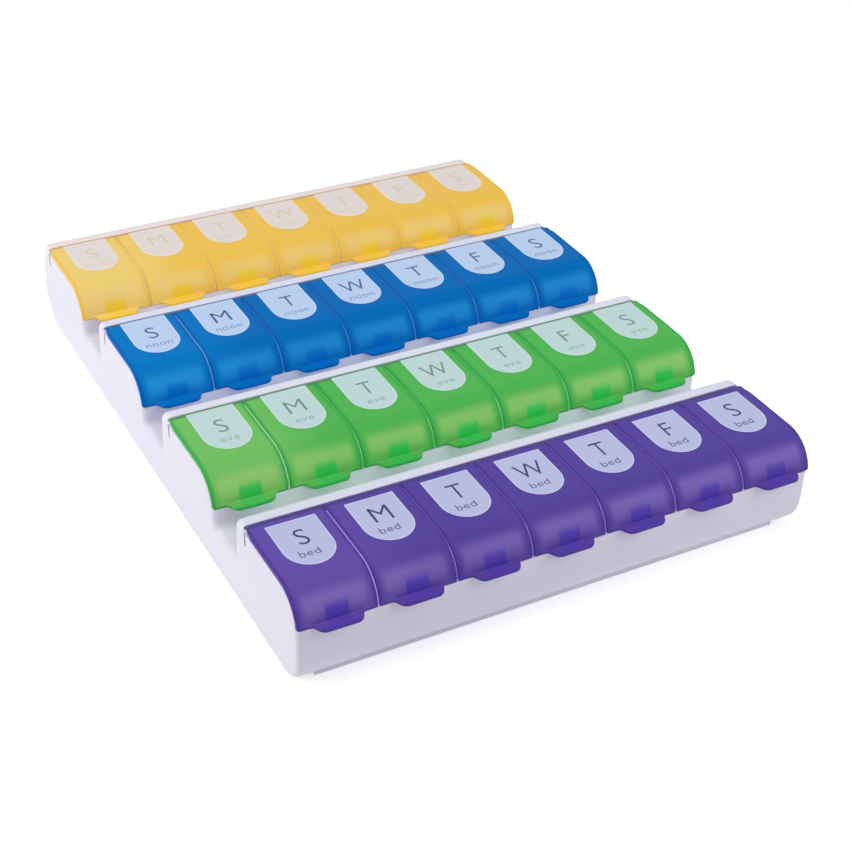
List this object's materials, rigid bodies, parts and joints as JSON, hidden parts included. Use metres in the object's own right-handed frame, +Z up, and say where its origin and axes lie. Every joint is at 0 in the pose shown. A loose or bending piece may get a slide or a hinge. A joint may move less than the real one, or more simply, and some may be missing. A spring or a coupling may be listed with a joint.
{
  "type": "weekly pill organizer",
  "caption": "Desktop pill organizer: stepped white casing with rows of small compartments, each under its own coloured flip lid with a thumb tab and rear hinge.",
  "frame": {"origin": "centre of the footprint on the surface that the organizer stands on", "axes": "+X along the rows from the first day to the last, +Y from the front row to the rear row, +Z up"},
  "size_m": [0.196, 0.2616, 0.0364],
  "materials": {
    "casing_white": "satin",
    "strip_white": "satin",
    "pin_steel": "drawn wire",
    "lid_purple": "satin",
    "lid_green": "satin",
    "lid_blue": "satin",
    "lid_yellow": "satin"
  },
  "bodies": {
    "housing": {"casing": "casing_white", "base_plate": "casing_white", "compartment_strip_bed": "strip_white", "hinge_pin_bed": "pin_steel", "compartment_strip_eve": "strip_white", "hinge_pin_eve": "pin_steel", "compartment_strip_noon": "strip_white", "hinge_pin_noon": "pin_steel", "compartment_strip_morn": "strip_white", "hinge_pin_morn": "pin_steel"},
    "lid_bed_sun": {"lid_bed_sun": "lid_purple"},
    "lid_bed_mon": {"lid_bed_mon": "lid_purple"},
    "lid_bed_tue": {"lid_bed_tue": "lid_purple"},
    "lid_bed_wed": {"lid_bed_wed": "lid_purple"},
    "lid_bed_thu": {"lid_bed_thu": "lid_purple"},
    "lid_bed_fri": {"lid_bed_fri": "lid_purple"},
    "lid_bed_sat": {"lid_bed_sat": "lid_purple"},
    "lid_eve_sun": {"lid_eve_sun": "lid_green"},
    "lid_eve_mon": {"lid_eve_mon": "lid_green"},
    "lid_eve_tue": {"lid_eve_tue": "lid_green"},
    "lid_eve_wed": {"lid_eve_wed": "lid_green"},
    "lid_eve_thu": {"lid_eve_thu": "lid_green"},
    "lid_eve_fri": {"lid_eve_fri": "lid_green"},
    "lid_eve_sat": {"lid_eve_sat": "lid_green"},
    "lid_noon_sun": {"lid_noon_sun": "lid_blue"},
    "lid_noon_mon": {"lid_noon_mon": "lid_blue"},
    "lid_noon_tue": {"lid_noon_tue": "lid_blue"},
    "lid_noon_wed": {"lid_noon_wed": "lid_blue"},
    "lid_noon_thu": {"lid_noon_thu": "lid_blue"},
    "lid_noon_fri": {"lid_noon_fri": "lid_blue"},
    "lid_noon_sat": {"lid_noon_sat": "lid_blue"},
    "lid_morn_sun": {"lid_morn_sun": "lid_yellow"},
    "lid_morn_mon": {"lid_morn_mon": "lid_yellow"},
    "lid_morn_tue": {"lid_morn_tue": "lid_yellow"},
    "lid_morn_wed": {"lid_morn_wed": "lid_yellow"},
    "lid_morn_thu": {"lid_morn_thu": "lid_yellow"},
    "lid_morn_fri": {"lid_morn_fri": "lid_yellow"},
    "lid_morn_sat": {"lid_morn_sat": "lid_yellow"}
  },
  "joints": [
    {"name": "lid_bed_sun_hinge", "type": "hinge", "parent": "housing", "child": "lid_bed_sun", "pos_m": [-0.084, -0.08655, 0.0345], "axis": [-1, 0, 0], "range_deg": [0, 100]},
    {"name": "lid_bed_mon_hinge", "type": "hinge", "parent": "housing", "child": "lid_bed_mon", "pos_m": [-0.056, -0.08655, 0.0345], "axis": [-1, 0, 0], "range_deg": [0, 100]},
    {"name": "lid_bed_tue_hinge", "type": "hinge", "parent": "housing", "child": "lid_bed_tue", "pos_m": [-0.028, -0.08655, 0.0345], "axis": [-1, 0, 0], "range_deg": [0, 100]},
    {"name": "lid_bed_wed_hinge", "type": "hinge", "parent": "housing", "child": "lid_bed_wed", "pos_m": [0, -0.08655, 0.0345], "axis": [-1, 0, 0], "range_deg": [0, 100]},
    {"name": "lid_bed_thu_hinge", "type": "hinge", "parent": "housing", "child": "lid_bed_thu", "pos_m": [0.028, -0.08655, 0.0345], "axis": [-1, 0, 0], "range_deg": [0, 100]},
    {"name": "lid_bed_fri_hinge", "type": "hinge", "parent": "housing", "child": "lid_bed_fri", "pos_m": [0.056, -0.08655, 0.0345], "axis": [-1, 0, 0], "range_deg": [0, 100]},
    {"name": "lid_bed_sat_hinge", "type": "hinge", "parent": "housing", "child": "lid_bed_sat", "pos_m": [0.084, -0.08655, 0.0345], "axis": [-1, 0, 0], "range_deg": [0, 100]},
    {"name": "lid_eve_sun_hinge", "type": "hinge", "parent": "housing", "child": "lid_eve_sun", "pos_m": [-0.084, -0.01825, 0.0345], "axis": [-1, 0, 0], "range_deg": [0, 100]},
    {"name": "lid_eve_mon_hinge", "type": "hinge", "parent": "housing", "child": "lid_eve_mon", "pos_m": [-0.056, -0.01825, 0.0345], "axis": [-1, 0, 0], "range_deg": [0, 100]},
    {"name": "lid_eve_tue_hinge", "type": "hinge", "parent": "housing", "child": "lid_eve_tue", "pos_m": [-0.028, -0.01825, 0.0345], "axis": [-1, 0, 0], "range_deg": [0, 100]},
    {"name": "lid_eve_wed_hinge", "type": "hinge", "parent": "housing", "child": "lid_eve_wed", "pos_m": [0, -0.01825, 0.0345], "axis": [-1, 0, 0], "range_deg": [0, 100]},
    {"name": "lid_eve_thu_hinge", "type": "hinge", "parent": "housing", "child": "lid_eve_thu", "pos_m": [0.028, -0.01825, 0.0345], "axis": [-1, 0, 0], "range_deg": [0, 100]},
    {"name": "lid_eve_fri_hinge", "type": "hinge", "parent": "housing", "child": "lid_eve_fri", "pos_m": [0.056, -0.01825, 0.0345], "axis": [-1, 0, 0], "range_deg": [0, 100]},
    {"name": "lid_eve_sat_hinge", "type": "hinge", "parent": "housing", "child": "lid_eve_sat", "pos_m": [0.084, -0.01825, 0.0345], "axis": [-1, 0, 0], "range_deg": [0, 100]},
    {"name": "lid_noon_sun_hinge", "type": "hinge", "parent": "housing", "child": "lid_noon_sun", "pos_m": [-0.084, 0.05005, 0.0345], "axis": [-1, 0, 0], "range_deg": [0, 100]},
    {"name": "lid_noon_mon_hinge", "type": "hinge", "parent": "housing", "child": "lid_noon_mon", "pos_m": [-0.056, 0.05005, 0.0345], "axis": [-1, 0, 0], "range_deg": [0, 100]},
    {"name": "lid_noon_tue_hinge", "type": "hinge", "parent": "housing", "child": "lid_noon_tue", "pos_m": [-0.028, 0.05005, 0.0345], "axis": [-1, 0, 0], "range_deg": [0, 100]},
    {"name": "lid_noon_wed_hinge", "type": "hinge", "parent": "housing", "child": "lid_noon_wed", "pos_m": [0, 0.05005, 0.0345], "axis": [-1, 0, 0], "range_deg": [0, 100]},
    {"name": "lid_noon_thu_hinge", "type": "hinge", "parent": "housing", "child": "lid_noon_thu", "pos_m": [0.028, 0.05005, 0.0345], "axis": [-1, 0, 0], "range_deg": [0, 100]},
    {"name": "lid_noon_fri_hinge", "type": "hinge", "parent": "housing", "child": "lid_noon_fri", "pos_m": [0.056, 0.05005, 0.0345], "axis": [-1, 0, 0], "range_deg": [0, 100]},
    {"name": "lid_noon_sat_hinge", "type": "hinge", "parent": "housing", "child": "lid_noon_sat", "pos_m": [0.084, 0.05005, 0.0345], "axis": [-1, 0, 0], "range_deg": [0, 100]},
    {"name": "lid_morn_sun_hinge", "type": "hinge", "parent": "housing", "child": "lid_morn_sun", "pos_m": [-0.084, 0.11835, 0.0345], "axis": [-1, 0, 0], "range_deg": [0, 100]},
    {"name": "lid_morn_mon_hinge", "type": "hinge", "parent": "housing", "child": "lid_morn_mon", "pos_m": [-0.056, 0.11835, 0.0345], "axis": [-1, 0, 0], "range_deg": [0, 100]},
    {"name": "lid_morn_tue_hinge", "type": "hinge", "parent": "housing", "child": "lid_morn_tue", "pos_m": [-0.028, 0.11835, 0.0345], "axis": [-1, 0, 0], "range_deg": [0, 100]},
    {"name": "lid_morn_wed_hinge", "type": "hinge", "parent": "housing", "child": "lid_morn_wed", "pos_m": [0, 0.11835, 0.0345], "axis": [-1, 0, 0], "range_deg": [0, 100]},
    {"name": "lid_morn_thu_hinge", "type": "hinge", "parent": "housing", "child": "lid_morn_thu", "pos_m": [0.028, 0.11835, 0.0345], "axis": [-1, 0, 0], "range_deg": [0, 100]},
    {"name": "lid_morn_fri_hinge", "type": "hinge", "parent": "housing", "child": "lid_morn_fri", "pos_m": [0.056, 0.11835, 0.0345], "axis": [-1, 0, 0], "range_deg": [0, 100]},
    {"name": "lid_morn_sat_hinge", "type": "hinge", "parent": "housing", "child": "lid_morn_sat", "pos_m": [0.084, 0.11835, 0.0345], "axis": [-1, 0, 0], "range_deg": [0, 100]}
  ]
}
